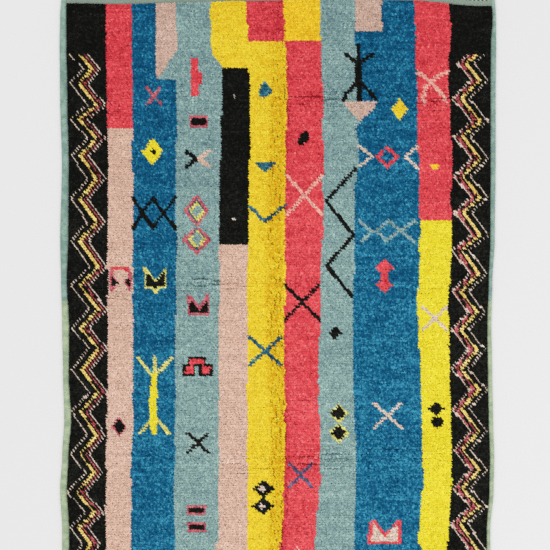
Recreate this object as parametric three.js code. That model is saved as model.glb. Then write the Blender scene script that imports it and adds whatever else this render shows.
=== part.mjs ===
// A hand-knotted Moroccan rug, lying flat on the floor: a wool pile field with a flat-woven band at each
// end, and both long sides bound with wool yarn that changes from teal to sage part of the way down.
// Millimetres, +Z up, the floor is z = 0. X runs across the rug, and +Y points to its top end.
// Places along the rug are given as "down", the distance from the top end, so y = LENGTH / 2 - down.

import * as THREE from "three";

// Driving dimensions
const LENGTH = 2500; // from end to end, at the furthest
const PILE_TOP = 15; // floor to the tips of the pile
const PILE_EDGE = 11; // height of the pile's outermost row, which leans over the side
const FLAT_WEAVE = 5; // thickness of the flat-woven end bands
const BAND = 33; // how far a flat-woven band reaches past the pile
const PILE_FOOT = 2; // the first row of knots rises over this length
const PILE_SHOULDER = 12; // the pile is at its full height this far in from its edge
const BINDING_TOP = 10; // height of the wrapped side
const BINDING_FOOT = 0.28; // the share of that height where its round top begins
const GAP = 0.3; // clearance between two pieces

const YARN_CHANGE = 1076; // where the two wrapping yarns meet, down from the top end

// How the sides run: the binding's outer and inner edge on the left and the right, in millimetres from the
// rug's middle line. Hand weaving wanders, and these rows hold where it does.
const SIDES = [
  { down: 0, leftOuter: -746, leftInner: -727, rightInner: 734, rightOuter: 748 },
  { down: 86, leftOuter: -751, leftInner: -727, rightInner: 738, rightOuter: 752 },
  { down: 176, leftOuter: -753, leftInner: -726, rightInner: 732, rightOuter: 753 },
  { down: 383, leftOuter: -751, leftInner: -723, rightInner: 731, rightOuter: 751 },
  { down: 607, leftOuter: -745, leftInner: -718, rightInner: 731, rightOuter: 751 },
  { down: 866, leftOuter: -751, leftInner: -720, rightInner: 730, rightOuter: 748 },
  { down: 1004, leftOuter: -748, leftInner: -725, rightInner: 725, rightOuter: 740 },
  { down: 1159, leftOuter: -744, leftInner: -717, rightInner: 720, rightOuter: 736 },
  { down: 1332, leftOuter: -741, leftInner: -718, rightInner: 722, rightOuter: 739 },
  { down: 1487, leftOuter: -737, leftInner: -710, rightInner: 725, rightOuter: 742 },
  { down: 1618, leftOuter: -744, leftInner: -720, rightInner: 729, rightOuter: 746 },
  { down: 1728, leftOuter: -751, leftInner: -725, rightInner: 727, rightOuter: 744 },
  { down: 1866, leftOuter: -744, leftInner: -717, rightInner: 718, rightOuter: 732 },
  { down: 2142, leftOuter: -746, leftInner: -718, rightInner: 722, rightOuter: 737 },
  { down: 2500, leftOuter: -744, leftInner: -717, rightInner: 722, rightOuter: 738 },
];

// How far each end falls back from a straight line across the rug: both ends bow out in the middle
const ENDS = [
  { across: -760, top: 17, bottom: 10 },
  { across: -510, top: 20, bottom: 6 },
  { across: -350, top: 14, bottom: 2 },
  { across: -110, top: 8, bottom: 0 },
  { across: 180, top: 0, bottom: 3 },
  { across: 450, top: 5, bottom: 6 },
  { across: 700, top: 27, bottom: 12 },
  { across: 760, top: 26, bottom: 13 },
];
const BOW_REACH = 300; // the rows are straight again this far in from an end

// The creases left by folding, across the rug: where each one runs, how wide and deep its trough is, and
// the stretch from..to, across the rug, where it is pressed in harder
const CROSS_CREASES = [
  { down: 385, wander: 7, width: 42, depth: 1.4, from: 20, to: 600, harder: 2.4 },
  { down: 1018, wander: 9, width: 48, depth: 1.8, from: -560, to: 180, harder: 1.4 },
  { down: 1632, wander: 11, width: 54, depth: 1.2, from: -60, to: 380, harder: 2.6 },
  { down: 2246, wander: 8, width: 46, depth: 1.5, from: -300, to: 260, harder: 1.6 },
];
// The one long crease, along the middle of the rug
const LONG_CREASE = { across: -6, wander: 9, width: 44, depth: 2.2 };
// The small dent that a heel or a table leg leaves
const DENT = { across: -150, down: 1675, radius: 32, depth: 2.0 };
const CREASE_WAVE = 1300; // a crease wanders once to each side over this length
// The rolling of a hand-cut pile: waves that cross, each with the length it takes across and down the rug
const ROLLING = [
  { height: 0.7, across: 180, down: 1950 },
  { height: 0.7, across: -1630, down: 235 },
];

// Fineness of the solids
const CLOTH_COLUMN = 46;
const CLOTH_ROW = 44;
const BINDING_ARC = 6;

const yarn = (name, colour) => {
  const material = new THREE.MeshStandardMaterial({ color: colour, roughness: 0.95, metalness: 0 });
  material.name = name;
  return material;
};

// The value of one column of a table at a place, eased from row to row so that it turns without corners
function alongTable(rows, key, column, place) {
  const last = rows.length - 1;
  const next = rows.findIndex((row) => row[key] >= place);
  if (next === 0) return rows[0][column];
  if (next < 0) return rows[last][column];
  const before = rows[next - 1];
  const after = rows[next];
  const share = (place - before[key]) / (after[key] - before[key]);
  const eased = share * share * (3 - 2 * share);
  return before[column] + (after[column] - before[column]) * eased;
}

const side = (column, down) => alongTable(SIDES, "down", column, down);
const fallsBack = (column, across) => alongTable(ENDS, "across", column, across);

// Where a row of the weave lies at a place across the rug: straight inside, bowed like the end near it
function bowed(down, across) {
  const nearTop = Math.max(0, 1 - down / BOW_REACH);
  const nearBottom = Math.max(0, 1 - (LENGTH - down) / BOW_REACH);
  return down + fallsBack("top", across) * nearTop - fallsBack("bottom", across) * nearBottom;
}

// A soft trough: deepest on its line and gone at half its width to either side
function trough(distance, width) {
  const share = Math.abs(distance) / (width / 2);
  return share >= 1 ? 0 : (1 + Math.cos(Math.PI * share)) / 2;
}

// A smooth swing from -1 to 1 and back, once for each whole turn
const swing = (turns) => Math.sin(2 * Math.PI * turns);

// Height of the pile's tips over the floor at a place on the rug
function pileHeight(across, down) {
  let height = PILE_TOP;
  for (const wave of ROLLING) height += wave.height * swing(across / wave.across + down / wave.down);
  for (const crease of CROSS_CREASES) {
    const line = crease.down + crease.wander * swing((across + crease.down) / CREASE_WAVE);
    const middle = (crease.from + crease.to) / 2;
    const hard = trough(across - middle, crease.to - crease.from);
    height -= trough(down - line, crease.width) * (crease.depth + crease.harder * hard);
  }
  const line = LONG_CREASE.across + LONG_CREASE.wander * swing(down / CREASE_WAVE);
  height -= trough(across - line, LONG_CREASE.width) * LONG_CREASE.depth;
  const toDent = Math.hypot(across - DENT.across, down - DENT.down);
  height -= trough(toDent, 2 * DENT.radius) * DENT.depth;
  return height;
}

// Even steps from start to end, close to a wanted step
function evenly(start, end, wanted) {
  const count = Math.max(1, Math.round((end - start) / wanted));
  return Array.from({ length: count + 1 }, (_, k) => start + ((end - start) * k) / count);
}

// Steps between marks, so that each mark has a line of its own
const through = (marks, wanted) =>
  marks.slice(1).flatMap((end, k) => evenly(marks[k], end, wanted).slice(k ? 1 : 0));

// Turns a closed skin into geometry: points as [x, y, z], faces as triples of point numbers
function solid(points, faces) {
  const geometry = new THREE.BufferGeometry();
  geometry.setAttribute("position", new THREE.Float32BufferAttribute(points.flat(), 3));
  geometry.setIndex(faces.flat());
  geometry.computeVertexNormals();
  return geometry;
}

// The rows that the cloth and its bindings share, so that they keep their clearance everywhere
function sharedRows() {
  const topMarks = [0, BAND, BAND + PILE_FOOT, BAND + PILE_SHOULDER];
  const creases = CROSS_CREASES.flatMap(({ down, width }) => [down - width / 2, down, down + width / 2]);
  const marks = [...topMarks, ...creases, YARN_CHANGE, ...topMarks.map((mark) => LENGTH - mark)];
  return through(marks.sort((a, b) => a - b), CLOTH_ROW);
}

// The cloth: a grid of points for its upper side, with its rim dropped to the floor and a flat underside
function cloth(downs) {
  // Columns are held as the distance from the left edge on a rug of the mean width
  const width = side("rightInner", LENGTH / 2) - side("leftInner", LENGTH / 2);
  const middle = LONG_CREASE.across - side("leftInner", LENGTH / 2);
  const half = LONG_CREASE.width / 2;
  const marks = [0, PILE_SHOULDER / 3, PILE_SHOULDER, middle - half, middle, middle + half];
  marks.push(width - PILE_SHOULDER, width - PILE_SHOULDER / 3, width);
  const columns = through(marks, CLOTH_COLUMN);

  // The upper side
  const heightAt = (column, down, across) => {
    const fromEnd = Math.min(down, LENGTH - down);
    if (fromEnd <= BAND) return FLAT_WEAVE;
    const full = pileHeight(across, down);
    const fromSide = Math.min(column, width - column) / PILE_SHOULDER;
    const atSide = PILE_EDGE + (full - PILE_EDGE) * Math.min(1, Math.sqrt(fromSide));
    return fromEnd < BAND + PILE_SHOULDER ? Math.min(atSide, PILE_EDGE) : atSide;
  };
  const points = [];
  for (const down of downs) {
    const left = side("leftInner", down) + GAP;
    const right = side("rightInner", down) - GAP;
    for (const column of columns) {
      const across = left + ((right - left) * column) / width;
      points.push([across, LENGTH / 2 - bowed(down, across), heightAt(column, down, across)]);
    }
  }
  const wide = columns.length;
  const long = downs.length;
  const at = (row, column) => row * wide + column;
  const faces = [];
  for (let row = 0; row < long - 1; row += 1) {
    for (let column = 0; column < wide - 1; column += 1) {
      const [a, b] = [at(row, column), at(row, column + 1)];
      const [c, d] = [at(row + 1, column), at(row + 1, column + 1)];
      faces.push([a, c, b], [b, c, d]);
    }
  }

  // The rim, once round, counter-clockwise seen from above
  const rim = [];
  for (let row = 0; row < long - 1; row += 1) rim.push(at(row, 0));
  for (let column = 0; column < wide - 1; column += 1) rim.push(at(long - 1, column));
  for (let row = long - 1; row > 0; row -= 1) rim.push(at(row, wide - 1));
  for (let column = wide - 1; column > 0; column -= 1) rim.push(at(0, column));
  const floor = rim.map((point) => points[point].slice(0, 2));
  const firstFloor = points.length;
  for (const [x, y] of floor) points.push([x, y, 0]);
  rim.forEach((point, k) => {
    const next = (k + 1) % rim.length;
    faces.push([point, firstFloor + k, rim[next]], [rim[next], firstFloor + k, firstFloor + next]);
  });
  const outline = floor.map(([x, y]) => new THREE.Vector2(x, y));
  for (const [a, b, c] of THREE.ShapeUtils.triangulateShape(outline, [])) {
    faces.push([firstFloor + a, firstFloor + c, firstFloor + b]);
  }
  return solid(points, faces);
}

// A length of wrapped side: a section with a flat foot and a round top, carried down the rug's side
function binding(outer, inner, downs) {
  const away = Math.sign(side(outer, 0));
  const rings = downs.map((down) => {
    const outside = side(outer, down);
    const inside = side(inner, down);
    const section = [];
    for (let k = 0; k <= BINDING_ARC; k += 1) {
      const turn = (Math.PI * k) / BINDING_ARC;
      const across = (outside + inside) / 2 + ((outside - inside) / 2) * Math.cos(turn);
      const lift = BINDING_FOOT + (1 - BINDING_FOOT) * Math.sin(turn);
      section.push([across, BINDING_TOP * lift]);
    }
    section.push([inside, 0], [outside, 0]);
    return section.map(([x, z]) => [x, LENGTH / 2 - bowed(down, x), z]);
  });
  const round = rings[0].length;
  const points = rings.flat();
  const faces = [];
  const face = (a, b, c) => faces.push(away > 0 ? [a, c, b] : [a, b, c]);
  for (let ring = 0; ring < rings.length - 1; ring += 1) {
    for (let k = 0; k < round; k += 1) {
      const next = (k + 1) % round;
      const [a, b] = [ring * round + k, ring * round + next];
      face(a, a + round, b);
      face(b, a + round, b + round);
    }
  }
  for (let k = 1; k < round - 1; k += 1) {
    const end = points.length - round;
    face(0, k, k + 1);
    face(end, end + k + 1, end + k);
  }
  return solid(points, faces);
}

const TEAL = yarn("binding_yarn_teal", 0x82a094);
const SAGE = yarn("binding_yarn_sage", 0xa0b291);
const WOOL = yarn("wool_pile", 0x4d7a86);

const rug = new THREE.Group();
rug.name = "moroccan_rug";

function add(name, geometry, material) {
  const mesh = new THREE.Mesh(geometry, material);
  mesh.name = name;
  rug.add(mesh);
}

const rows = sharedRows();
const tealRows = [...rows.filter((down) => down < YARN_CHANGE), YARN_CHANGE - GAP / 2];
const sageRows = [YARN_CHANGE + GAP / 2, ...rows.filter((down) => down > YARN_CHANGE)];
add("rug_cloth", cloth(rows), WOOL);
for (const where of ["left", "right"]) {
  const edges = [`${where}Outer`, `${where}Inner`];
  add(`binding_${where}_teal`, binding(...edges, tealRows), TEAL);
  add(`binding_${where}_sage`, binding(...edges, sageRows), SAGE);
}

export default rug;
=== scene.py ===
"""A hand-knotted Moroccan wool rug, lying flat: a woven ground, some 67 thousand knots of dyed pile yarn in
stripes with small traditional weaving signs, flat-woven ends with a twined row, and sides wrapped in wool.

Lengths in the tables are real millimetres. "across" is the distance from the rug's middle line, to the
right, and "down" is the distance from its top end. The rug's frame has +X to the right and +Y to the top
end, so y is half the length less down."""

from collections import namedtuple
import bpy
import numpy as np
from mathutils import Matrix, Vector


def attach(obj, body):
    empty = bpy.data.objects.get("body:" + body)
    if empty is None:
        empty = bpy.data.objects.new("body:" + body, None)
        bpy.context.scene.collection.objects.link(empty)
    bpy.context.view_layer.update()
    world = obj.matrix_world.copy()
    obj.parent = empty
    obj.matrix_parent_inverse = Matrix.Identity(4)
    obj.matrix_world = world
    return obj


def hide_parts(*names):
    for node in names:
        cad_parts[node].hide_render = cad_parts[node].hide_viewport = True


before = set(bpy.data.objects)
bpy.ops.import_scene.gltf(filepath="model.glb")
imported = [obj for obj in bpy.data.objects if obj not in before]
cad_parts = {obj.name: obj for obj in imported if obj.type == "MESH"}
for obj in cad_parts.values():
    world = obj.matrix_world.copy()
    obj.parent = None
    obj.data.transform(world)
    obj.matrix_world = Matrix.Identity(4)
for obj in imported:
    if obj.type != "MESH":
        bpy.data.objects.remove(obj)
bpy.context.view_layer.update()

MM = 0.001
LENGTH = 2500
BAND = 36            # a flat-woven end band, past the pile
BAND_TOP = 5.0       # how thick it is
PACKED_TOP = 10.8    # the ground under the pile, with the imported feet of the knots
PILE_TOP = 15.0      # floor to the tips of the pile
PILE_EDGE = 12.0     # the tips of the outermost knots
BINDING_TOP = 9.6    # the wrapped sides' height
KNOTS_ACROSS, KNOT_ROWS = 230, 290
KNOT_WIDE = 1447 / KNOTS_ACROSS   # the pile is 1447 mm wide on average, so 6.3 mm
KNOT_LONG = (LENGTH - 2 * BAND) / KNOT_ROWS   # 8.4 mm
SEED = 31

# What the photograph shows: its middle on the rug, and how much of the floor it takes in
VIEW_MIDDLE = (-10, 987)
VIEW_WIDE = 1897.5
CAMERA_HEIGHT = 6.5
SENSOR_MM = 36.0

rng = np.random.default_rng(SEED)

# Camera and light


def add_camera():
    """Straight down over the part of the rug that the photograph shows, through a long lens."""
    data = bpy.data.cameras.new("camera")
    data.sensor_width = SENSOR_MM
    data.lens = SENSOR_MM * CAMERA_HEIGHT / (VIEW_WIDE * MM)
    data.clip_end = 100   # metres
    camera = bpy.data.objects.new("camera", data)
    camera.location = (VIEW_MIDDLE[0] * MM, (LENGTH / 2 - VIEW_MIDDLE[1]) * MM, CAMERA_HEIGHT)
    bpy.context.scene.collection.objects.link(camera)
    bpy.context.scene.camera = camera


Lamp = namedtuple("Lamp", "name across up high size watts")
LAMPS = [
    Lamp("soft_box_top_left", -2.6, 2.9, 3.6, 2.6, 34),
    Lamp("soft_box_right", 3.4, 0.6, 3.8, 3.0, 36),
    Lamp("soft_box_bottom", 0.3, -3.2, 3.8, 3.0, 44),
]
SKY_STRENGTH = 0.8


def add_lamps():
    """Soft boxes round the rug, turned to its middle, in a pale room that lights it evenly."""
    for lamp in LAMPS:
        data = bpy.data.lights.new(lamp.name, "AREA")
        data.energy = lamp.watts
        data.size = lamp.size
        light = bpy.data.objects.new(lamp.name, data)
        place = np.array([lamp.across, lamp.up, lamp.high])
        light.location = place
        light.rotation_euler = Vector(-place).to_track_quat("-Z", "Y").to_euler()
        bpy.context.scene.collection.objects.link(light)
    world = bpy.data.worlds.new("pale_room")
    world.use_nodes = True
    world.node_tree.nodes["Background"].inputs["Color"].default_value = (1, 1, 1, 1)
    world.node_tree.nodes["Background"].inputs["Strength"].default_value = SKY_STRENGTH
    bpy.context.scene.world = world
    bpy.context.scene.view_settings.view_transform = "Standard"
    bpy.context.scene.cycles.use_denoising = False


# Shape of the rug, the same as its solids

# How the sides run: the binding's outer and inner edges, by distance down the rug
SIDES = np.array([
    # down, left outer, left inner, right inner, right outer
    (0, -746, -727, 734, 748),
    (86, -751, -727, 738, 752),
    (176, -753, -726, 732, 753),
    (383, -751, -723, 731, 751),
    (607, -745, -718, 731, 751),
    (866, -751, -720, 730, 748),
    (1004, -748, -725, 725, 740),
    (1159, -744, -717, 720, 736),
    (1332, -741, -718, 722, 739),
    (1487, -737, -710, 725, 742),
    (1618, -744, -720, 729, 746),
    (1728, -751, -725, 727, 744),
    (1866, -744, -717, 718, 732),
    (2142, -746, -718, 722, 737),
    (2500, -744, -717, 722, 738),
], float)
LEFT_OUTER, LEFT_INNER, RIGHT_INNER, RIGHT_OUTER = 1, 2, 3, 4

# How far each end falls back from a straight line: across, top end, bottom end
ENDS = np.array([
    (-760, 17, 10),
    (-510, 20, 6),
    (-350, 14, 2),
    (-110, 8, 0),
    (180, 0, 3),
    (450, 5, 6),
    (700, 27, 12),
    (760, 26, 13),
], float)
BOW_REACH = 300

# The creases left by folding: where each runs, and the stretch where it is pressed in harder
Crease = namedtuple("Crease", "down wander wide deep start end harder")
CROSS_CREASES = [Crease(*row) for row in [
    (378, 7, 62, 0.7, 0, 300, 2.7),
    (398, 5, 50, 0.0, 440, 640, 2.4),
    (428, 5, 64, 0.0, -640, -460, 1.6),
    (1018, 9, 48, 0.8, -400, -50, 2.6),
    (1052, 6, 30, 0.0, -640, -470, 1.8),
    (1400, 4, 28, 0.0, 10, 170, 1.8),
    (1612, 11, 72, 0.7, 0, 300, 2.8),
    (1588, 6, 40, 0.0, 240, 540, 1.6),
    (1642, 8, 36, 0.0, -230, 10, 1.8),
    (1856, 6, 60, 0.0, 10, 150, 2.0),
    (2246, 8, 50, 0.7, -300, 260, 2.4),
]]
LONG_CREASE = {"across": -6, "wander": 9, "wide": 44, "deep": 2.0}
CREASE_WAVE = 1300
DENT = {"across": -150, "down": 1675, "radius": 32, "deep": 2.0}
ROLLING = [(0.7, 180, 1950), (0.7, -1630, 235)]  # height of a wave, and its length across and down


def eased(table, column, place):
    """A column of a table at a place, eased from row to row: 3 s^2 - 2 s^3 of the way between them."""
    key = table[:, 0]
    after = np.clip(np.searchsorted(key, place), 1, len(key) - 1)
    share = np.clip((place - key[after - 1]) / (key[after] - key[after - 1]), 0, 1)
    share = share * share * (3 - 2 * share)
    return table[after - 1, column] * (1 - share) + table[after, column] * share


def bowed(down, across):
    """Where a row of the weave lies: straight inside the rug, and bowed like the end when it is near it."""
    near_top = np.maximum(0, 1 - down / BOW_REACH)
    near_bottom = np.maximum(0, 1 - (LENGTH - down) / BOW_REACH)
    return down + eased(ENDS, 1, across) * near_top - eased(ENDS, 2, across) * near_bottom


def pile_sides(down):
    """Where the pile ends on the left and on the right: at the bindings' inner edges."""
    return eased(SIDES, LEFT_INNER, down), eased(SIDES, RIGHT_INNER, down)


def down_to_row(row):
    """How far down the rug a row of knots begins."""
    return BAND + (LENGTH - 2 * BAND) * row / KNOT_ROWS


def trough(distance, wide):
    """A soft trough: 1 on its line, easing as a cosine to 0 at half its width to either side."""
    share = np.minimum(np.abs(distance) / (wide / 2), 1)
    return (1 + np.cos(np.pi * share)) / 2


def swing(turns):
    """A sine, once round for each whole turn."""
    return np.sin(2 * np.pi * turns)


def crease_pulls(across, down, spread=(1.0, 1.0)):
    """How deep the creases across the rug and along it press the pile in, in mm. spread widens each kind."""
    over = np.zeros(np.broadcast(across, down).shape)
    for c in CROSS_CREASES:
        line = c.down + c.wander * swing((across + c.down) / CREASE_WAVE)
        hard = trough(across - (c.start + c.end) / 2, c.end - c.start)
        over += trough(down - line, c.wide * spread[0]) * (c.deep + c.harder * hard)
    line = LONG_CREASE["across"] + LONG_CREASE["wander"] * swing(down / CREASE_WAVE)
    return over, trough(across - line, LONG_CREASE["wide"] * spread[1]) * LONG_CREASE["deep"]


def pile_height(across, down):
    """Height of the pile's tips over the floor, in mm: full height, rolling in two waves, less creases."""
    height = np.full(np.broadcast(across, down).shape, PILE_TOP)
    for tall, wave_across, wave_down in ROLLING:
        height += tall * swing(across / wave_across + down / wave_down)
    to_dent = np.hypot(across - DENT["across"], down - DENT["down"])
    return height - sum(crease_pulls(across, down)) - trough(to_dent, 2 * DENT["radius"]) * DENT["deep"]


# Slow unevenness: how strong it is, over how many rows and columns of a grid it changes, and its seed
Uneven = namedtuple("Uneven", "strength rows columns seed")


def smooth_noise(shape, uneven):
    """Slow unevenness on a grid, to both sides of 0: random values on a coarser grid, eased in between."""
    step = (uneven.rows, uneven.columns)
    source = np.random.default_rng(uneven.seed)
    coarse = source.uniform(-1, 1, [int(n / s) + 3 for n, s in zip(shape, step)])
    row, column = (np.arange(n) / s for n, s in zip(shape, step))
    r, c = row.astype(int), column.astype(int)
    fr, fc = row - r, column - c
    fr, fc = fr * fr * (3 - 2 * fr), fc * fc * (3 - 2 * fc)
    top, low = (line[:, c] * (1 - fc) + line[:, c + 1] * fc for line in (coarse[r], coarse[r + 1]))
    return uneven.strength * (top * (1 - fr[:, None]) + low * fr[:, None])


# The weaver's chart

YARNS = [
    "black", "coral", "blue", "pink", "grey", "yellow", "gold", "lemon", "straw", "primrose", "cream", "fawn",
    "blush", "rose", "coral_in_shade", "petrol", "slate",
]

# Where each stripe ends on its right: rows of (down, across)
STRIPE_EDGES = {
    "left_border": [
        (55, -591), (159, -594), (314, -591), (452, -586), (866, -588), (1263, -584), (1521, -589),
        (1763, -593), (2522, -589),
    ],
    "coral_to_pink": [
        (55, -505), (245, -503), (383, -498), (486, -501), (659, -499), (1487, -499), (1625, -505),
        (2522, -501),
    ],
    "left_blue": [
        (0, -348), (217, -348), (310, -413), (314, -348), (504, -348), (538, -351), (642, -354),
        (883, -349), (1073, -349), (1211, -353), (1452, -353), (1659, -356), (2522, -353),
    ],
    "left_grey": [
        (0, -233), (141, -232), (210, -227), (235, -220), (269, -189), (276, -192), (452, -194),
        (642, -199), (866, -201), (1521, -204), (1694, -203), (1901, -205), (1922, -218), (2022, -220),
        (2042, -204), (2522, -203),
    ],
    "block_stripe": [
        (0, -110), (183, -104), (273, -103), (331, -94), (400, -94), (435, -98), (555, -96), (693, -99),
        (900, -103), (1107, -106), (1521, -106), (1763, -103), (1866, -106), (2522, -104),
    ],
    "yellow": [
        (0, 18), (179, 25), (245, 28), (417, 30), (555, 27), (693, 28), (866, 25), (1073, 25), (1176, 20),
        (1556, 25), (1694, 20), (1763, 22), (1935, 8), (2108, 15), (2522, 22),
    ],
    "coral": [
        (0, 142), (183, 147), (348, 154), (504, 154), (573, 158), (693, 154), (797, 158), (918, 151),
        (1107, 147), (1228, 142), (1280, 137), (1314, 142), (1349, 137), (1539, 146), (1694, 146),
        (1763, 139), (1935, 125), (2177, 135), (2522, 146),
    ],
    "right_grey": [
        (0, 267), (193, 267), (455, 284), (486, 268), (521, 277), (607, 277), (659, 271), (693, 261),
        (728, 265), (969, 265), (1004, 260), (1245, 256), (1314, 260), (1401, 263), (1590, 268),
        (1763, 270), (1901, 265), (2522, 267),
    ],
    "right_blue": [
        (0, 470), (107, 472), (169, 477), (210, 472), (262, 472), (297, 479), (504, 482), (693, 487),
        (831, 489), (952, 486), (1107, 480), (1211, 484), (1263, 489), (1590, 498), (1694, 501),
        (1780, 492), (1911, 482), (1932, 498), (2108, 494), (2522, 487),
    ],
    "coral_to_yellow": [
        (0, 589), (141, 596), (176, 591), (348, 589), (469, 593), (545, 598), (745, 596), (849, 599),
        (952, 594), (1114, 586), (1159, 591), (1228, 587), (1366, 594), (1625, 601), (1746, 598),
        (1918, 584), (2522, 591),
    ],
}
EVER = 9999
# The yarns of each stripe from the top end, each with how far down it goes
STRIPE_YARNS = [
    [("black", EVER)],
    [("coral", 480), ("pink", EVER)],
    [("blue", EVER)],
    [("grey", EVER)],
    [("yellow", 274), ("black", 885), ("pink", EVER)],
    [("coral", 185), ("yellow", EVER)],
    [("gold", 178), ("coral", EVER)],
    [("grey", EVER)],
    [("blue", EVER)],
    [("coral", 797), ("lemon", EVER)],
    [("black", EVER)],
]

# What the signs are made of: lines through points, filled shapes, two lines that cross from corner to
# corner, and lozenges, where a larger one under a smaller one is its rim
Line = namedtuple("Line", "yarn wide points")
Shape = namedtuple("Shape", "yarn corners")
Cross = namedtuple("Cross", "yarn wide left top right bottom")
Lozenge = namedtuple("Lozenge", "yarn across down half_wide half_long")
THIN, BROAD = 11, 13   # the usual widths of a line


def box(yarn, left, top, right, bottom):
    """A filled shape with upright sides."""
    return Shape(yarn, [(left, top), (right, top), (right, bottom), (left, bottom)])


PATCHES = [
    Shape("fawn", [(-421, 0), (-348, 0), (-348, 217), (-413, 310), (-416, 310), (-421, 141)]),
    box("fawn", 268, 0, 359, 145),
]

CROSSES = [Cross(*row) for row in [
    ("rose", 9, -450, 342, -403, 399), ("black", THIN, -309, 1532, -241, 1597),
    ("black", THIN, 23, 1019, 144, 1142), ("slate", 10, 40, 1636, 118, 1716),
    ("petrol", BROAD, -99, 1201, 11, 1298), ("cream", THIN, 330, 1428, 425, 1514),
    ("cream", THIN, 498, 1097, 582, 1176), ("blush", THIN, 33, 647, 151, 778),
]]

LOZENGES = [Lozenge(*row) for row in [
    ("lemon", -432, 562, 37, 46), ("black", -429, 562, 12, 13), ("rose", -546, 1509, 29, 36),
    ("black", -546, 1508, 21, 28), ("black", 198, 1187, 22, 24), ("primrose", 209, 1463, 35, 35),
    ("primrose", 210, 1530, 37, 37), ("black", 209, 1463, 26, 26), ("black", 210, 1530, 27, 28),
    ("rose", -279, 766, 46, 55), ("petrol", -279, 768, 32, 41), ("primrose", -279, 768, 28, 36),
    ("grey", -278, 768, 17, 24), ("rose", -279, 867, 52, 51), ("petrol", -279, 865, 35, 39),
    ("primrose", -278, 864, 31, 34), ("grey", -278, 864, 21, 23), ("yellow", 418, 418, 30, 37),
    ("coral", 377, 581, 42, 41), ("blue", 376, 581, 26, 26), ("coral", 367, 962, 31, 31),
    ("coral", 367, 1022, 30, 28), ("black", -49, 1723, 40, 30), ("cream", -54, 1724, 12, 12),
    ("black", -51, 1783, 41, 30), ("cream", -56, 1783, 13, 11), ("black", 546, 1447, 30, 25),
    ("black", 549, 1494, 27, 26), ("cream", 68, 1960, 31, 41), ("coral", 68, 1960, 19, 28),
]]

LINES = [Line(*row) for row in [
    # the double zigzag on the left blue stripe
    ("black", BROAD, [(-498, 723), (-467, 773), (-430, 826), (-394, 773), (-354, 723)]),
    ("black", BROAD, [(-498, 826), (-467, 773), (-430, 723), (-394, 773), (-354, 826)]),
    # the yellow tree
    ("primrose", BROAD, [(-426, 1270), (-426, 1328)]),
    ("primrose", BROAD, [(-437, 1330), (-480, 1272)]),
    ("primrose", BROAD, [(-415, 1328), (-368, 1275)]),
    ("primrose", BROAD, [(-437, 1485), (-474, 1533)]),
    ("primrose", BROAD, [(-415, 1485), (-373, 1534)]),
    ("lemon", 21, [(-429, 1473), (-427, 1528)]),
    ("lemon", 24, [(-426, 1340), (-426, 1370)]),
    ("lemon", 25, [(-429, 1383), (-428, 1470)]),
    # the coral gate on the left pink stripe
    ("coral", THIN, [(-571, 963), (-513, 968)]),
    ("rose", 8, [(-572, 963), (-572, 1042)]),
    ("rose", 8, [(-510, 963), (-510, 1042)]),
    # arrowheads beside the lozenges
    ("black", 14, [(-316, 562), (-281, 587), (-312, 613)]),
    ("pink", BROAD, [(-234, 559), (-272, 588), (-238, 613)]),
    ("cream", THIN, [(280, 542), (324, 580), (283, 610)]),
    ("cream", THIN, [(480, 544), (438, 581), (482, 618)]),
    # the blue V
    ("petrol", THIN, [(-96, 751), (-46, 803), (24, 748)]),
    # the long black zigzag on the right grey stripe
    ("black", BROAD, [(265, 624), (166, 733), (261, 850), (168, 954), (253, 1059)]),
    # the black tree across the grey and blue stripes
    ("black", 15, [(277, 198), (277, 252)]),
    ("black", 21, [(278, 260), (278, 321)]),
    ("black", 18, [(279, 321), (280, 383)]),
    ("black", BROAD, [(268, 255), (233, 227)]),
    ("black", BROAD, [(287, 254), (327, 228)]),
    ("black", BROAD, [(268, 329), (249, 350), (233, 364), (228, 383)]),
    ("black", BROAD, [(288, 328), (338, 382)]),
    # the double zigzag on the right blue stripe
    ("grey", THIN, [
        (279, 800), (301, 819), (321, 836), (342, 836), (382, 800), (423, 835), (472, 800),
    ]),
    ("grey", THIN, [
        (289, 872), (321, 837), (342, 839), (373, 869), (423, 835), (449, 854), (470, 875),
    ]),
    # the bent cross on the right coral stripe
    ("blush", BROAD, [(482, 290), (500, 302), (525, 322), (548, 346), (572, 372), (580, 393)]),
    ("blush", BROAD, [(587, 284), (558, 299), (531, 321), (508, 343), (501, 369), (502, 395)]),
]]

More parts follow.
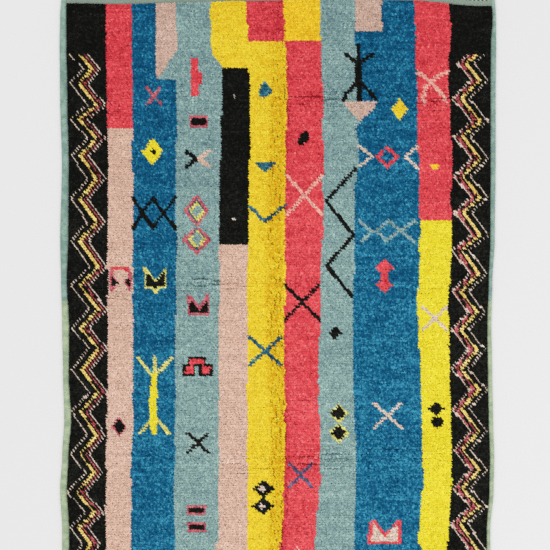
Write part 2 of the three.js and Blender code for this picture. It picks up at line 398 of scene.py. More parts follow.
SHAPES = [
    # black crowns, each in a rim of another yarn
    Shape("primrose", [
        (-462, 958), (-453, 963), (-421, 1002), (-391, 965), (-383, 959), (-382, 1032), (-405, 1032),
        (-421, 1054), (-436, 1032), (-462, 1032),
    ]),
    Shape("black", [
        (-455, 974), (-421, 1014), (-389, 974), (-388, 1024), (-408, 1024), (-421, 1042), (-434, 1024),
        (-455, 1024),
    ]),
    Shape("rose", [
        (-310, 1052), (-301, 1056), (-272, 1093), (-245, 1052), (-235, 1048), (-233, 1129), (-310, 1129),
    ]),
    Shape("black", [(-302, 1070), (-272, 1110), (-241, 1068), (-241, 1119), (-302, 1119)]),
    # the black notches in the coral gate
    Shape("rose", [(-575, 985), (-544, 1014), (-575, 1044)]),
    Shape("rose", [(-506, 985), (-533, 1012), (-506, 1045)]),
    Shape("black", [(-573, 992), (-550, 1014), (-573, 1030)]),
    Shape("black", [(-508, 993), (-526, 1012), (-508, 1033)]),
    # the coral bar with a bump
    Shape("coral", [
        (-300, 244), (-277, 244), (-277, 290), (-263, 290), (-263, 331), (-275, 333), (-275, 370),
        (-299, 370),
    ]),
    # black bars in coral rims
    box("rose", -305, 440, -239, 482),
    box("black", -297, 448, -246, 473),
    box("rose", -314, 1781, -246, 1813),
    box("black", -308, 1789, -255, 1804),
    box("rose", -312, 1839, -247, 1870),
    box("black", -303, 1848, -255, 1863),
    # the coral arch on its two feet, in a black rim
    Shape("black", [
        (-311, 1266), (-248, 1266), (-247, 1290), (-224, 1294), (-225, 1334), (-270, 1334), (-270, 1302),
        (-285, 1302), (-285, 1334), (-328, 1334), (-326, 1292), (-311, 1292),
    ]),
    Shape("coral", [
        (-303, 1274), (-255, 1274), (-254, 1298), (-232, 1302), (-233, 1325), (-263, 1325), (-263, 1294),
        (-292, 1294), (-292, 1325), (-320, 1325), (-318, 1300), (-303, 1299),
    ]),
    # small filled signs
    Shape("petrol", [
        (-56, 329), (-44, 324), (-32, 331), (-27, 344), (-14, 355), (-25, 364), (-35, 372), (-51, 378),
        (-62, 373), (-65, 361), (-65, 350), (-56, 343),
    ]),
    Shape("petrol", [(-80, 603), (-8, 603), (-44, 635)]),
    Shape("gold", [(522, 607), (561, 607), (543, 630)]),
    Shape("fawn", [(220, 386), (346, 386), (324, 422), (282, 457), (249, 426)]),
    box("coral", 356, 986, 378, 1001),
    Shape("black", [
        (80, 500), (93, 491), (108, 496), (111, 509), (104, 526), (85, 542), (73, 538), (68, 523),
    ]),
    Shape("coral", [
        (320, 1827), (331, 1828), (370, 1877), (413, 1830), (425, 1826), (424, 1866), (427, 1912),
        (307, 1912), (313, 1866),
    ]),
    Shape("cream", [
        (328, 1842), (336, 1844), (370, 1894), (406, 1848), (416, 1842), (415, 1877), (414, 1902),
        (321, 1902), (324, 1873),
    ]),
    # single pale knots in the black block
    box("cream", -155, 368, -147, 377),
    box("cream", -155, 789, -147, 798),
]

# The turns of the zigzag down each border, which its lines follow
LEFT_ZIGZAG = [
    (-684, 228), (-641, 278), (-684, 328), (-625, 400), (-684, 452), (-624, 516), (-679, 576), (-624, 657),
    (-681, 726), (-624, 806), (-681, 869), (-618, 959), (-681, 1023), (-618, 1106), (-679, 1170),
    (-618, 1240), (-675, 1314), (-618, 1390), (-677, 1458), (-625, 1539), (-681, 1604), (-632, 1666),
    (-693, 1737), (-630, 1803), (-684, 1858), (-644, 1911), (-682, 1977), (-627, 2053), (-681, 2129),
    (-625, 2205), (-679, 2280),
]
RIGHT_ZIGZAG = [
    (691, 226), (648, 259), (696, 317), (632, 380), (698, 457), (636, 511), (698, 586), (637, 649),
    (696, 718), (639, 773), (698, 849), (632, 902), (693, 982), (630, 1044), (687, 1116), (629, 1176),
    (687, 1244), (629, 1311), (693, 1382), (632, 1449), (693, 1523), (637, 1589), (693, 1658), (634, 1722),
    (693, 1784), (627, 1842), (691, 1939), (632, 2004), (691, 2067), (632, 2132), (691, 2208), (636, 2280),
]
# Each line of the zigzag: how far to the right of the turns it keeps, and how much of each row it takes
Follower = namedtuple("Follower", "yarn aside wide")
LEFT_FOLLOWERS = [Follower(*row) for row in [
    ("cream", -31, 6.3),
    ("straw", -0.5, 10.4),
    ("coral_in_shade", 16.5, 7),
    ("cream", 30, 6.3),
]]
RIGHT_FOLLOWERS = [Follower(*row) for row in [
    ("cream", 26.5, 7),
    ("straw", 0, 10.4),
    ("coral_in_shade", -13.6, 5),
    ("coral_in_shade", -22.4, 5),
    ("cream", -31, 7.4),
]]


def inside(shape, across, down):
    """Which places lie in a shape: those with an odd number of its sides between them and the far right."""
    corners = np.array(shape.corners, float)
    odd = np.zeros(across.shape, bool)
    for (x0, y0), (x1, y1) in zip(corners, np.roll(corners, -1, axis=0)):
        if y0 == y1:
            continue
        crossing = x0 + (down - y0) * (x1 - x0) / (y1 - y0)
        odd ^= ((y0 > down) != (y1 > down)) & (across < crossing)
    return odd


def near_line(points, wide, across, down):
    """Which places lie within half a line's width of it: by their distance to its nearest stretch."""
    points = np.array(points, float)
    near = np.zeros(across.shape, bool)
    for start, end in zip(points[:-1], points[1:]):
        along = end - start
        share = ((across - start[0]) * along[0] + (down - start[1]) * along[1]) / (along @ along)
        share = np.clip(share, 0, 1)
        gone = np.hypot(across - start[0] - share * along[0], down - start[1] - share * along[1])
        near |= gone <= wide / 2
    return near


def near_zigzag(turns, follower, across, down):
    """Which places a line of a zigzag takes: those within half its width of it, along each row."""
    turns = np.array(turns, float)
    line = np.interp(down, turns[:, 1], turns[:, 0]) + follower.aside
    near = np.abs(across - line) <= follower.wide / 2
    return near & (down > turns[0, 1]) & (down < turns[-1, 1])


def chart(across, down):
    """The weaver's chart: the yarn of each knot, by its number in YARNS."""
    yarn = np.zeros(across.shape, int)

    def lay(name, places):
        yarn[places] = YARNS.index(name)

    before = np.full(across.shape, -np.inf)
    edges = [np.interp(down, *np.array(rows, float).T) for rows in STRIPE_EDGES.values()]
    for yarns, edge in zip(STRIPE_YARNS, edges + [np.full(across.shape, np.inf)]):
        stripe = (across >= before) & (across < edge)
        for name, until in reversed(yarns):
            lay(name, stripe & (down < until))
        before = edge
    for patch in PATCHES:
        lay(patch.yarn, inside(patch, across, down))
    for c in CROSSES:
        for points in ([(c.left, c.top), (c.right, c.bottom)], [(c.right, c.top), (c.left, c.bottom)]):
            lay(c.yarn, near_line(points, c.wide, across, down))
    for z in LOZENGES:
        lay(z.yarn, np.abs(across - z.across) / z.half_wide + np.abs(down - z.down) / z.half_long <= 1)
    for line in LINES:
        lay(line.yarn, near_line(line.points, line.wide, across, down))
    for shape in SHAPES:
        lay(shape.yarn, inside(shape, across, down))
    for turns, followers in ((LEFT_ZIGZAG, LEFT_FOLLOWERS), (RIGHT_ZIGZAG, RIGHT_FOLLOWERS)):
        for follower in followers:
            lay(follower.yarn, near_zigzag(turns, follower, across, down))
    return yarn


# Meshes and materials


def make_piece(name, points, faces, material, smooth=False):
    """An object at the origin with its place in its mesh: points in mm, faces as rows of corner numbers."""
    mesh = bpy.data.meshes.new(name)
    mesh.vertices.add(len(points))
    mesh.vertices.foreach_set("co", (np.asarray(points, float) * MM).ravel())
    mesh.loops.add(faces.size)
    mesh.loops.foreach_set("vertex_index", faces.astype(np.int32).ravel())
    mesh.polygons.add(len(faces))
    mesh.polygons.foreach_set("loop_start", np.arange(0, faces.size, faces.shape[1], dtype=np.int32))
    mesh.update(calc_edges=True)
    mesh.polygons.foreach_set("use_smooth", np.full(len(faces), smooth))
    mesh.materials.append(material)
    piece = bpy.data.objects.new(name, mesh)
    bpy.context.scene.collection.objects.link(piece)
    return piece


def mark_points(piece, name, values):
    """Give each point of the piece a value that its material reads."""
    marks = piece.data.attributes.new(name, "FLOAT", "POINT")
    marks.data.foreach_set("value", values.ravel())


def hand_in(piece, slot, *nodes):
    """The piece lies still with the rug and stands for CAD nodes, which are hidden; slot is not used."""
    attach(piece, "root")
    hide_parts(*nodes)
    return piece


def linear(colour):
    """An sRGB colour, as #rrggbb, in linear light: ((c + 0.055) / 1.055) ^ 2.4, and c / 12.92 when dark."""
    c = np.array([int(colour[at:at + 2], 16) for at in (1, 3, 5)]) / 255
    return (*np.where(c <= 0.04045, c / 12.92, ((c + 0.055) / 1.055) ** 2.4), 1.0)


def add(material, kind, inputs=(), **settings):
    """Add a shader node: its own settings, then its inputs as (socket, value or another node's output)."""
    tree = material.node_tree
    made = tree.nodes.new(kind)
    for name, value in settings.items():
        setattr(made, name, value)
    for socket, value in inputs:
        if isinstance(value, bpy.types.NodeSocket):
            tree.links.new(value, made.inputs[socket])
        else:
            made.inputs[socket].default_value = value
    return made


def new_material(name):
    """A node material with no nodes in it yet."""
    material = bpy.data.materials.new(name)
    material.use_nodes = True
    material.node_tree.nodes.clear()
    return material


def texture(material, kind, scale, detail, inputs=(), **settings):
    """A pattern over the rug, from 0 to 1."""
    place = add(material, "ShaderNodeTexCoord").outputs["Object"]
    made = add(material, kind, [("Vector", place), ("Scale", scale), ("Detail", detail), *inputs], **settings)
    return made.outputs["Fac"]


def dyed(material, shade, wool, dark_at, main_at):
    """The wool's colour for a shade from 0 to 1: dark up to a place, then its main colour, light at 1."""
    ramp = add(material, "ShaderNodeValToRGB", [("Fac", shade)])
    dark, light = ramp.color_ramp.elements
    dark.position, dark.color, light.color = dark_at, linear(wool.dark), linear(wool.light)
    ramp.color_ramp.elements.new(main_at).color = linear(wool.main)
    return ramp.outputs["Color"]


def give_surface(material, colour, height, strength, distance, inputs):
    """End a material in a surface: its colour, a bump and the rest."""
    bump = add(material, "ShaderNodeBump", [
        ("Height", height), ("Strength", strength), ("Distance", distance)])
    surface = add(material, "ShaderNodeBsdfPrincipled", [
        ("Base Color", colour), ("Normal", bump.outputs["Normal"]), *inputs])
    add(material, "ShaderNodeOutputMaterial", [("Surface", surface.outputs["BSDF"])])
    return material


Wool = namedtuple("Wool", "dark main light uneven thick", defaults=(1.0,))
# Each yarn's dye, from the shaded fibres to the ones that catch the light, how uneven it took, and how thick
# the yarn is, with 1 as usual. The thin lines of the signs are laid in leftover yarns, from straw to slate;
# the dark red of the zigzags is coral painted darker, as painted shade from the long black pile round it.
WOOLS = {
    "black": Wool("#060704", "#0f100d", "#272822", 1.2),
    "coral": Wool("#b01a2a", "#e24b54", "#f47c7e", 0.9),
    "blue": Wool("#06395c", "#0a5f88", "#44a4c2", 1.15),
    "pink": Wool("#bc9886", "#dab9a6", "#eed4c7", 0.8),
    "grey": Wool("#567880", "#8ba9a7", "#b2ccc4", 0.95),
    "yellow": Wool("#d8a410", "#e9d132", "#f6e056", 0.75, 1.12),
    "gold": Wool("#daa212", "#edcc2e", "#f8db4e", 0.75, 1.12),
    "lemon": Wool("#d8bc18", "#e8db30", "#f6ea5e", 0.75, 1.12),
    "straw": Wool("#bc9440", "#ecd074", "#f8e8a8", 1.0, 0.92),
    "primrose": Wool("#a09a40", "#dad470", "#f0eca4", 1.0),
    "cream": Wool("#b09884", "#dcc8b8", "#f2e6dc", 0.8, 0.92),
    "fawn": Wool("#aa8c7a", "#d0b2a3", "#e6d0c3", 0.8),
    "blush": Wool("#c27c74", "#e8ae9f", "#f6cfc4", 0.8),
    "rose": Wool("#8a2c3c", "#c8606c", "#e2989c", 1.0),
    # Painted shade: coral painted darker where its thin zigzag line lies in the shade of the long black pile
    "coral_in_shade": Wool("#42141a", "#b8484f", "#dc8688", 1.3, 0.88),
    "petrol": Wool("#143c4e", "#266680", "#5f9ca4", 1.2),
    "slate": Wool("#26304e", "#4e5476", "#8886a6", 1.3),
}
PLIES = 0.9   # how strongly the plies and fibres show within one yarn end


def pile_wool(name):
    """Hand-spun, dyed wool, cut across: matt, its dye uneven from one yarn end to the next, with painted
    light and shade in the creases, and each end broken into the light and dark of its plies and fibres."""
    wool = WOOLS[name]
    material = new_material(f"dyed_wool_{name}")
    fleck_and_painted_shade = add(material, "ShaderNodeAttribute", attribute_name="fleck_and_painted_shade")
    plies = texture(material, "ShaderNodeTexNoise", scale=420, detail=2, inputs=[("Roughness", 0.7)])
    share = PLIES * wool.uneven
    mixed = add(material, "ShaderNodeMath", [
        (0, plies), (1, share), (2, fleck_and_painted_shade.outputs["Fac"])], operation="MULTIPLY_ADD")
    shade = add(material, "ShaderNodeMapRange", [
        ("Value", mixed.outputs[0]), ("From Min", share / 2), ("From Max", share / 2 + 1)])
    colour = dyed(material, shade.outputs["Result"], wool, dark_at=0, main_at=0.5)
    return give_surface(material, colour, plies, strength=0.6, distance=0.0012, inputs=[
        ("Roughness", 0.95), ("Specular IOR Level", 0.08), ("Sheen Weight", 0.03), ("Sheen Roughness", 0.6)])


# The pile

# A yarn end's cut tip, seen from above: half its width, and half its length along the lean
TIP_HALF_WIDE, TIP_HALF_LONG = 3.0, 3.4
ENDS_APART = (4, 5.5)   # a knot's ends stand a 4th of its width and a 5.5th of its length off its middle
LEAN = (1.0, 1.5)       # the pile leans to the right and towards the bottom end
EDGE_SHOULDER = 14      # the outermost knots stand lower over this much
SPLAY = (-0.6, -4.0)    # how far the left and the right binding push the outermost tips to the right
FOOT_DEEP = 2.5         # how far the feet of the ends stand in the ground
SUNK = 0.9              # how far the ground sinks in a crease, for each mm that the tips do
ROW_DRIFT, COLUMN_DRIFT = Uneven(1.3, 24, 30, SEED + 1), Uneven(0.8, 30, 20, SEED + 2)

# The ruffled pile in the creases: how much wider it is than a crease across the rug or along it, how much
# of the one along it counts at most, less near the top end, and how deep they are where it is fully ruffled
CREASE_SPREAD = (1.5, 2.1)
ALONG_MOST, ALONG_LEAST, ALONG_REACH = 1.2, 0.4, 400
RUFFLED_FULLY = 4
# How far the rows and columns open there and the rows waver, for each mm that the pile is pressed in, where
# the openings come and go, and how much more of the rows opens, and less of the columns
ROW_OPENING, COLUMN_OPENING, ROW_WAVER = 2.8, 8.5, Uneven(0.7, 5, 7, SEED + 8)
ROW_GAPS, COLUMN_GAPS = Uneven(1, 1, 9, SEED + 3), Uneven(1, 2, 1, SEED + 4)
MORE_ROWS, FEWER_COLUMNS = 0.1, 0.1

# How much yarn ends differ, as standard deviations: where the tip stands, in mm across, down and up, its
# turn, the slope of its cut, and where the cut's corners are, in mm along it and up
STRAY_ACROSS, STRAY_DOWN, STRAY_UP, STRAY_TURN = 0.6, 0.7, 0.6, 0.3
STRAY_SLOPE, STRAY_CORNER, STRAY_CORNER_UP = 0.2, 0.3, 0.25
CUT_SLOPE = -0.08    # the cut slopes down along the lean
WIDE_RANGE, LONG_RANGE = (0.8, 1.15), (0.8, 1.2)
ALONE_NARROWER, ALONE_LOWER = 0.25, 0.8   # an end with other yarns on both sides is squeezed
RUFFLED_THINNER, RUFFLED_PAINTED_LIGHT = 0.08, 0.8   # ruffled ends look thinner, and painted light and shade varies more on them

# How light each end is coloured, from 0 to 1: darker towards the top end and towards the left, its dye
# changing from knot to knot and from end to end, in lots of rows and in patches, and painted darker in the
# creases across and along, as painted shade.
TONE_DOWN, TONE_ACROSS, DYE_KNOT, DYE_END = 0.08, 0.03, 0.05, 0.15
TONE_TURNS_AT, TONE_TURNS_OVER, TONE_WIDTH = 700, 500, 700
DYE_LOTS = [Uneven(0.06, 7, 60, SEED + 5), Uneven(0.10, 1, 12, SEED + 6), Uneven(0.06, 3, 4, SEED + 7)]
PAINTED_CREASE_SHADE = (0.015, 0.27)

# A yarn end's own little map: its tip in the middle of a tile, its four sides round it
TIP_MAP = np.array([(0.2, 0.2), (0.8, 0.2), (0.8, 0.8), (0.2, 0.8)])
SIDE_MAP = np.array([(0.5, 0.03), (0.97, 0.5), (0.5, 0.97), (0.03, 0.5)])


def lay_out_knots():
    """The middle of each knot, row by row: columns spread evenly between the bindings, and rows bowed at the
    ends and wavering a little, as hand-beaten rows do."""
    down = down_to_row(np.arange(KNOT_ROWS) + 0.5)
    left, right = pile_sides(down)
    share = (np.arange(KNOTS_ACROSS) + 0.5) / KNOTS_ACROSS
    across = left[:, None] + (right - left)[:, None] * share
    down = bowed(down[:, None], across) + smooth_noise(across.shape, ROW_DRIFT)
    return across + smooth_noise(across.shape, COLUMN_DRIFT), down


def part_rows(over, along):
    """How the tips lean apart where the pile is creased. Each gap between two rows, and between two columns,
    has an opening that comes and goes along it, and the tips on either side move away from it by half. The
    rows waver there too."""
    size = over.shape
    open_rows = over * ROW_OPENING * np.maximum(0, smooth_noise(size, ROW_GAPS) + MORE_ROWS)
    open_columns = along * COLUMN_OPENING * np.maximum(0, smooth_noise(size, COLUMN_GAPS) - FEWER_COLUMNS)
    lean_down = (np.roll(open_rows, 1, axis=0) - open_rows) / 2 + over * smooth_noise(size, ROW_WAVER)
    lean_across = (np.roll(open_columns, 1, axis=1) - open_columns) / 2
    return lean_across, lean_down


def grow_yarn_ends(across, down, yarn):
    """Two cut yarn ends to each knot, one behind the other along the lean, each an upside-down pyramid
    from a foot in the ground to a four-cornered tip. Gives their points, their yarns, and how light each
    one is coloured: its dye, with painted light and shade in the creases."""
    size = across.shape
    over, along = crease_pulls(across, down, CREASE_SPREAD)
    along = np.minimum(along, ALONG_MOST) * np.clip(down / ALONG_REACH, ALONG_LEAST, 1)
    lean_across, lean_down = part_rows(over, along)
    ruffled = np.minimum((over + along) / RUFFLED_FULLY, 1)
    left, right = pile_sides(down)
    near_side = np.maximum(0, 1 - np.minimum(across - left, right - across) / EDGE_SHOULDER)
    near_end = np.maximum(0, 1 - np.minimum(down - down[:1], down[-1:] - down) / EDGE_SHOULDER)
    splay = near_side * np.where(across < 0, *SPLAY)
    sunk = PACKED_TOP - FOOT_DEEP - SUNK * (over + along)
    tips = pile_height(across, down) + (PILE_EDGE - PILE_TOP) * np.maximum(near_side, near_end)
    # darker towards the top end and towards the left, and uneven in lots, in patches and from knot to knot
    dye = TONE_DOWN * np.tanh((down - TONE_TURNS_AT) / TONE_TURNS_OVER) + TONE_ACROSS * across / TONE_WIDTH
    dye += sum(smooth_noise(size, lot) for lot in DYE_LOTS) + rng.normal(0, DYE_KNOT, size)
    # Painted shade: the ends are painted darker along the creases, where shade falls into the opened pile
    dye -= PAINTED_CREASE_SHADE[0] * over + PAINTED_CREASE_SHADE[1] * along
    uneven = np.array([WOOLS[name].uneven for name in YARNS])[yarn]
    alone = (np.roll(yarn, 1, axis=1) != yarn) & (np.roll(yarn, -1, axis=1) != yarn)
    thick = np.array([WOOLS[name].thick for name in YARNS])[yarn] * (1 - RUFFLED_THINNER * ruffled)
    points, lights = [], []
    for behind in (-1, 1):
        foot_across = across + behind * KNOT_WIDE / ENDS_APART[0]
        foot_down = down + behind * KNOT_LONG / ENDS_APART[1]
        tip_across = foot_across + LEAN[0] + lean_across + splay + rng.normal(0, STRAY_ACROSS, size)
        tip_down = foot_down + LEAN[1] + lean_down + rng.normal(0, STRAY_DOWN, size)
        tip_height = tips + rng.normal(0, STRAY_UP, size) * (1 + ruffled) - ALONE_LOWER * alone
        turn = np.arctan2(KNOT_LONG, KNOT_WIDE) + rng.normal(0, STRAY_TURN, size)
        half_wide = TIP_HALF_WIDE * thick * (1 - ALONE_NARROWER * alone) * rng.uniform(*WIDE_RANGE, size)
        half_long = TIP_HALF_LONG * thick * rng.uniform(*LONG_RANGE, size)
        slope_along, slope_aside = rng.normal(CUT_SLOPE, STRAY_SLOPE, size), rng.normal(0, STRAY_SLOPE, size)
        corners = []
        for sx, sy in ((-1, -1), (1, -1), (1, 1), (-1, 1)):
            x = sx * half_long + rng.normal(0, STRAY_CORNER, size)
            y = sy * half_wide + rng.normal(0, STRAY_CORNER, size)
            z = tip_height + slope_along * x + slope_aside * y + rng.normal(0, STRAY_CORNER_UP, size)
            x, y = x * np.cos(turn) + y * np.sin(turn), y * np.cos(turn) - x * np.sin(turn)
            corners.append(np.stack([tip_across + x, LENGTH / 2 - tip_down + y, z], axis=-1))
        corners.append(np.stack([foot_across, LENGTH / 2 - foot_down, sunk], axis=-1))
        points.append(np.stack(corners, axis=-2).reshape(-1, 5, 3))
        # Painted light and shade: ends in the ruffled creases vary more in how light they are painted, as
        # turned tips catch more or less light
        light = 0.5 + uneven * (dye + rng.normal(0, DYE_END, size) * (1 + RUFFLED_PAINTED_LIGHT * ruffled))
        lights.append(light.ravel())
    return np.concatenate(points), np.tile(yarn.ravel(), 2), np.concatenate(lights)


def make_pile(points, yarn, light):
    """The pile's pieces: each yarn's ends on the left and on the right half of the rug."""
    tip = [(0, 1, 2), (0, 2, 3)]
    sides = [(1, 0, 4), (2, 1, 4), (3, 2, 4), (0, 3, 4)]
    faces = np.array(tip + sides)
    tile = [TIP_MAP[list(face)] for face in tip]
    tile += [np.stack([TIP_MAP[a], TIP_MAP[b], far]) for (a, b, _), far in zip(sides, SIDE_MAP)]
    tile = np.array(tile)
    pieces = []
    for number, name in enumerate(YARNS):
        material = pile_wool(name)
        for half, chosen in (("left", points[:, 4, 0] < 0), ("right", points[:, 4, 0] >= 0)):
            these = chosen & (yarn == number)
            count = int(these.sum())
            if not count:
                continue
            corners = (np.arange(count)[:, None, None] * 5 + faces[None]).reshape(-1, 3)
            piece = make_piece(f"pile_{name}_{half}", points[these].reshape(-1, 3), corners, material)
            # Each end's lightness goes to the material: its dye, with the painted shade and light of the
            # creases
            mark_points(piece, "fleck_and_painted_shade", np.repeat(light[these], 5))
            per_side = int(np.ceil(np.sqrt(count)))
            tile_at = np.stack(np.divmod(np.arange(count), per_side), axis=-1)[:, None, None, :]
            uv = piece.data.uv_layers.new(name="OFBake")
            uv.data.foreach_set("uv", ((tile_at + tile[None]) / per_side).ravel())
            pieces.append(hand_in(piece, "wool_pile", "rug_cloth"))
    return pieces


# The woven ground

BAND_WOOL = "#96a899"
BAND_STEPS = 6       # rows of faces in an end band
TUCKED = 2           # how far the ground reaches under the wrapping
UNDERSIDE = 0.05     # how high it lies over the floor


def ground_wool():
    """Plain-woven wool: the feet of the knots and the weft between them, and the flat bands at the ends.
    Under the pile it takes the knots' dark dye, painted shade of the deep pile seen between the tips.
    """
    material = new_material("woven_wool_ground")
    dye = add(material, "ShaderNodeAttribute", attribute_name="dye")
    fibres = texture(material, "ShaderNodeTexNoise", scale=500, detail=3, inputs=[("Roughness", 0.6)])
    weft = texture(material, "ShaderNodeTexWave", scale=70, detail=1, inputs=[
        ("Distortion", 1.5), ("Detail Scale", 2.0)], bands_direction="Y")
    warp = texture(material, "ShaderNodeTexWave", scale=50, detail=1, inputs=[
        ("Distortion", 1.0), ("Detail Scale", 2.0)], bands_direction="X")
    weave = add(material, "ShaderNodeMath", [(0, weft), (1, warp)], operation="ADD")
    worn = add(material, "ShaderNodeMapRange", [
        ("Value", fibres), ("From Min", 0.25), ("From Max", 0.75), ("To Min", 0.8), ("To Max", 1.15)])
    colour = add(material, "ShaderNodeVectorMath", [
        (0, dye.outputs["Color"]), ("Scale", worn.outputs["Result"])], operation="SCALE")
    return give_surface(
        material, colour.outputs["Vector"], weave.outputs[0], strength=0.8, distance=0.0012,
        inputs=[("Roughness", 0.92), ("Specular IOR Level", 0.2)])


def make_ground(yarn):
    """The woven ground, one closed sheet: two knots by two to a face, with finer rows in the end bands, and
    each face's corners in the dark dye of the knots that stand on them, painted shade of the deep pile."""
    band = np.linspace(0, BAND, BAND_STEPS + 1)[:-1]
    down = np.concatenate([band, down_to_row(np.arange(0, KNOT_ROWS + 1, 2)), LENGTH - band[::-1]])
    left, right = pile_sides(down) + TUCKED * np.array([[-1], [1]])
    across = left[:, None] + (right - left)[:, None] * np.arange(0, KNOTS_ACROSS + 1, 2) / KNOTS_ACROSS
    y = LENGTH / 2 - bowed(down[:, None], across)
    rows, columns = across.shape
    height = PACKED_TOP - SUNK * sum(crease_pulls(across, LENGTH / 2 - y, CREASE_SPREAD))
    height[:BAND_STEPS + 1] = height[-BAND_STEPS - 1:] = BAND_TOP
    height[:, [0, -1]] = BAND_TOP
    top = np.stack([across, y, height], axis=-1).reshape(-1, 3)
    points = np.concatenate([top, np.column_stack([top[:, :2], np.full(len(top), UNDERSIDE)])])
    at = np.arange(rows * columns).reshape(rows, columns)
    up = np.stack([at[1:, :-1], at[1:, 1:], at[:-1, 1:], at[:-1, :-1]], axis=-1).reshape(-1, 4)
    under = up[:, ::-1] + len(top)
    rim = np.concatenate([at[:-1, 0], at[-1, :-1], at[:0:-1, -1], at[0, :0:-1]])
    after = np.roll(rim, -1)
    wall = np.stack([rim, rim + len(top), after + len(top), after], axis=-1)
    piece = make_piece("woven_ground", points, np.concatenate([up, under, wall]), ground_wool())
    # Painted shade: under the pile the ground takes each knot's yarn colour painted dark, for the shaded
    # depths between the tips
    knot_dyes_in_shade = np.array([linear(WOOLS[name].dark) for name in YARNS])[yarn]
    on_top = np.tile(linear(BAND_WOOL), (rows - 1, columns - 1, 4, 1))
    knots = on_top[BAND_STEPS:-BAND_STEPS]
    for corner, (row, column) in enumerate(((1, 0), (1, 1), (0, 1), (0, 0))):
        knots[:, :, corner] = knot_dyes_in_shade[row::2, column::2]
    on_top = on_top.reshape(-1, 4, 4)
    on_wall = np.tile(linear(BAND_WOOL), (len(wall), 4, 1))
    dye = piece.data.color_attributes.new(name="dye", type="FLOAT_COLOR", domain="CORNER")
    dye.data.foreach_set("color", np.concatenate([on_top, on_top[:, ::-1], on_wall]).ravel())
    return hand_in(piece, "wool_pile", "rug_cloth")


# The twined rows

# A turn of the twining: its size, how much of it the next one covers, how deep it lies, and its slant
BEAD_LONG, BEAD_WIDE, BEAD_HIGH = 7.2, 5.0, 2.6
BEAD_COVERED, BEAD_DEEP, BEAD_SLANT = 0.2, 0.4, 0.45
TWINING_IN = (18, 13)   # how far inside the end line the row runs, at the left and at the right side
TWINING_SHORT = 4       # how far from the bindings it stops


def make_twining():
    """A row of two-colour twining in each flat band: black and cream turns by turns, each turn a slanting
    bead, its top z = high (1 - u^2 - v^2)^0.5 over an oval u, v."""
    around, rings = 8, (1.0, 0.8, 0.45)   # points in a ring, and how far out the rings are
    angle = 2 * np.pi * np.arange(around) / around
    u, v = (np.concatenate([r * wave(angle) for r in rings] + [[0.0]]) for wave in (np.cos, np.sin))
    w = np.sqrt(np.maximum(0, 1 - u * u - v * v))
    ring = np.arange(around)
    after = (ring + 1) % around
    faces = []
    for step in range(len(rings) - 1):
        a, b = step * around, (step + 1) * around
        faces.append(np.stack([a + ring, a + after, b + after], -1))
        faces.append(np.stack([a + ring, b + after, b + ring], -1))
    last = (len(rings) - 1) * around
    faces.append(np.stack([last + ring, last + after, np.full(around, last + around)], -1))
    fan = ring[1:-1]
    faces.append(np.stack([np.zeros(around - 2, int), fan + 1, fan], -1))
    faces = np.concatenate(faces)
    pieces = []
    for name in ("black", "cream"):
        points = []
        for sides, down_end, slant in ((SIDES[0], 0, BEAD_SLANT), (SIDES[-1], LENGTH, -BEAD_SLANT)):
            left, right = sides[LEFT_INNER], sides[RIGHT_INNER]
            step = BEAD_LONG - BEAD_COVERED
            first = left + TWINING_SHORT + step * (name == "cream")
            middle = np.arange(first, right - TWINING_SHORT, 2 * step)
            share = (middle - left) / (right - left)
            within = TWINING_IN[0] * (1 - share) + TWINING_IN[1] * share
            x = middle[:, None] + u * BEAD_LONG / 2 + v * slant
            line = LENGTH / 2 - bowed(np.abs(down_end - within), middle)
            y = line[:, None] + v * BEAD_WIDE / 2 - 2 * u * slant
            z = np.broadcast_to(BAND_TOP - BEAD_DEEP + w * BEAD_HIGH, x.shape)
            points.append(np.stack([x, y, z], axis=-1))
        points = np.concatenate(points)
        corners = (np.arange(len(points))[:, None, None] * len(u) + faces[None]).reshape(-1, 3)
        piece = make_piece(f"twined_row_{name}", points.reshape(-1, 3), corners, pile_wool(name), smooth=True)
        mark_points(piece, "fleck_and_painted_shade", np.repeat(rng.uniform(0.3, 0.7, len(points)), len(u)))
        pieces.append(hand_in(piece, "wool_pile", "rug_cloth"))
    return pieces


# The wrapped sides

YARN_CHANGE = 1076   # how far down the wrapping goes from teal to sage
TURN_PITCH = 5.2     # the thickness of the wrapping yarn
TURN_SLANT = 1.6     # how far a turn runs down from the wrapping's middle to its edge
STATIONS = 4         # places along each turn
CORDS = 3            # warp cords that the wrapping covers
SECTION_POINTS = 10  # points over the round of the section
FULLNESS = 0.7       # under 1, the section has fuller shoulders than a half round
# How much wider and higher the wrapping is on a turn than between turns, and how much higher over a cord
TURN_OUT, TURN_UP, CORD_UP = 0.7, 1.0, 0.9
WRAP_UNEVEN = 0.3    # how uneven its size is
CLEAR = 0.2          # how far it keeps inside its place on either side
# Heights over the floor, of the foot that the section stands on, of its two edges and of its underside
FOOT_UP, EDGE_UP, UNDER_UP, UNDER_REACH = 0.3, 0.6, 0.1, 0.35
# Painted light and shade on the wrapping: darker in the grooves between turns, lighter on each turn and over
# each cord
GROOVE_PAINTED_SHADE, TURN_PAINTED_LIGHT, CORD_PAINTED_LIGHT = 0.15, 0.2, 0.15   # how light the wool is painted there, and how much more
WRAP_WOOLS = {
    "teal": Wool("#587a70", "#7d9b90", "#98b2a6", 1.0),
    "sage": Wool("#78937a", "#9cae8e", "#b4c3a2", 1.0),
}


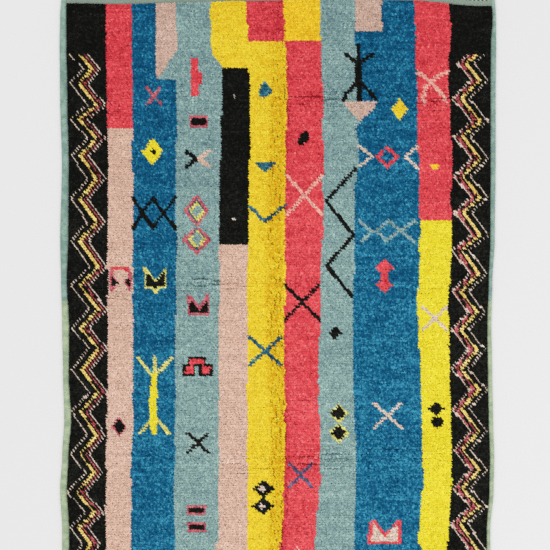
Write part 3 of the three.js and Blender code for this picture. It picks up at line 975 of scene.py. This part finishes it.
def wrapping_wool(name):
    """Smooth worsted wool: one even dye, painted darker in the grooves between turns and lighter on the turns
    and cords, as painted light and shade, and fine fibres that run round the cords."""
    wool = WRAP_WOOLS[name]
    material = new_material(f"wrapping_wool_{name}")
    # The crest attribute is painted light and shade, taken from the wrapping's shape
    crest = add(material, "ShaderNodeAttribute", attribute_name="crest")
    patches = texture(material, "ShaderNodeTexNoise", scale=45, detail=4, inputs=[("Roughness", 0.6)])
    mixed = add(material, "ShaderNodeMath", [
        (0, patches), (1, 1.1), (2, crest.outputs["Fac"])], operation="MULTIPLY_ADD")
    colour = dyed(material, mixed.outputs[0], wool, dark_at=0.3, main_at=0.85)
    fibres = texture(material, "ShaderNodeTexNoise", scale=1200, detail=2)
    return give_surface(material, colour, fibres, strength=0.4, distance=0.0004, inputs=[
        ("Roughness", 0.8), ("Specular IOR Level", 0.25), ("Sheen Weight", 0.1), ("Sheen Roughness", 0.5)])


def make_wrapping(side, name, start, end):
    """Yarn wrapped round the side's cords. Along the side each turn is a ridge, (1 + cos(2 pi turns)) / 2
    high, and round it the section is a half round on a flat foot, with a shallow groove between cords."""
    outer, inner = (LEFT_OUTER, LEFT_INNER) if side == "left" else (RIGHT_OUTER, RIGHT_INNER)
    turns = int(round((end - start) / TURN_PITCH))
    along = np.linspace(start, end, turns * STATIONS + 1)
    angle = np.linspace(0, np.pi, SECTION_POINTS)
    section_across = np.concatenate([-np.cos(angle), [UNDER_REACH, -UNDER_REACH]])
    section_up = np.concatenate([np.sin(angle) ** FULLNESS, [0, 0]])
    over_cord = np.abs(np.sin(np.pi * CORDS * (section_across + 1) / 2))
    slant = TURN_SLANT * section_across * (1 if side == "left" else -1)
    crest = (1 + np.cos(2 * np.pi * (along[:, None] - start + slant) / TURN_PITCH)) / 2
    seed = SEED + 7 + int(start) + (side == "left")
    uneven = smooth_noise((len(along), 2), Uneven(WRAP_UNEVEN, 6, 1, seed))[:, :1]
    left, right = eased(SIDES, outer, along), eased(SIDES, inner, along)
    middle, half = (left + right) / 2, np.abs(right - left) / 2 - CLEAR
    x = middle[:, None] + section_across * (half[:, None] - TURN_OUT * (1 - crest) + uneven)
    tall = BINDING_TOP - TURN_UP * (1 - crest) - CORD_UP * (1 - over_cord) + uneven
    z = np.where(section_up > 0, FOOT_UP + section_up * (tall - FOOT_UP), UNDER_UP)
    z[:, [0, SECTION_POINTS - 1]] = EDGE_UP
    y = LENGTH / 2 - bowed(np.broadcast_to(along[:, None], x.shape), x)
    points = np.stack([x, y, z], axis=-1).reshape(-1, 3)
    stations, around = x.shape
    at = np.arange(stations * around).reshape(stations, around)
    after = np.roll(at, -1, axis=1)
    skin = np.stack([at[:-1], after[:-1], after[1:], at[1:]], axis=-1).reshape(-1, 4)
    fan = np.arange(1, around - 1)
    first = np.stack([np.zeros_like(fan), fan + 1, fan], -1)
    last = at[-1, 0] + np.stack([np.zeros_like(fan), fan, fan + 1], -1)
    faces = np.concatenate([skin[:, [0, 1, 2]], skin[:, [0, 2, 3]], first, last])
    piece = make_piece(f"wrapping_{side}_{name}", points, faces, wrapping_wool(name), smooth=True)
    # Painted light and shade: the wool is painted darker in the grooves between turns and lighter on each
    # turn and over each cord
    mark_points(piece, "crest", GROOVE_PAINTED_SHADE + TURN_PAINTED_LIGHT * crest + CORD_PAINTED_LIGHT * over_cord)
    return hand_in(piece, f"{name}_binding_yarn", f"binding_{side}_{name}")


def make_floor():
    """A plain pale studio floor, well past the edges of every view."""
    reach = 14000
    points = [(-reach, -reach, 0), (reach, -reach, 0), (reach, reach, 0), (-reach, reach, 0)]
    material = new_material("matt_studio_floor")
    surface = add(material, "ShaderNodeBsdfPrincipled", [
        ("Base Color", linear("#e2e2e2")), ("Roughness", 0.95), ("Specular IOR Level", 0.0)])
    add(material, "ShaderNodeOutputMaterial", [("Surface", surface.outputs["BSDF"])])
    make_piece("floor", points, np.array([(0, 1, 2, 3)]), material)


add_camera()
add_lamps()
make_floor()

knot_across, knot_down = lay_out_knots()
knot_yarn = chart(knot_across + LEAN[0], knot_down + LEAN[1])   # the signs show where the tips lie
pile = make_pile(*grow_yarn_ends(knot_across, knot_down, knot_yarn))
twining = make_twining()
for side in ("left", "right"):
    make_wrapping(side, "teal", 0, YARN_CHANGE)
    make_wrapping(side, "sage", YARN_CHANGE, LENGTH)
ground = make_ground(knot_yarn)
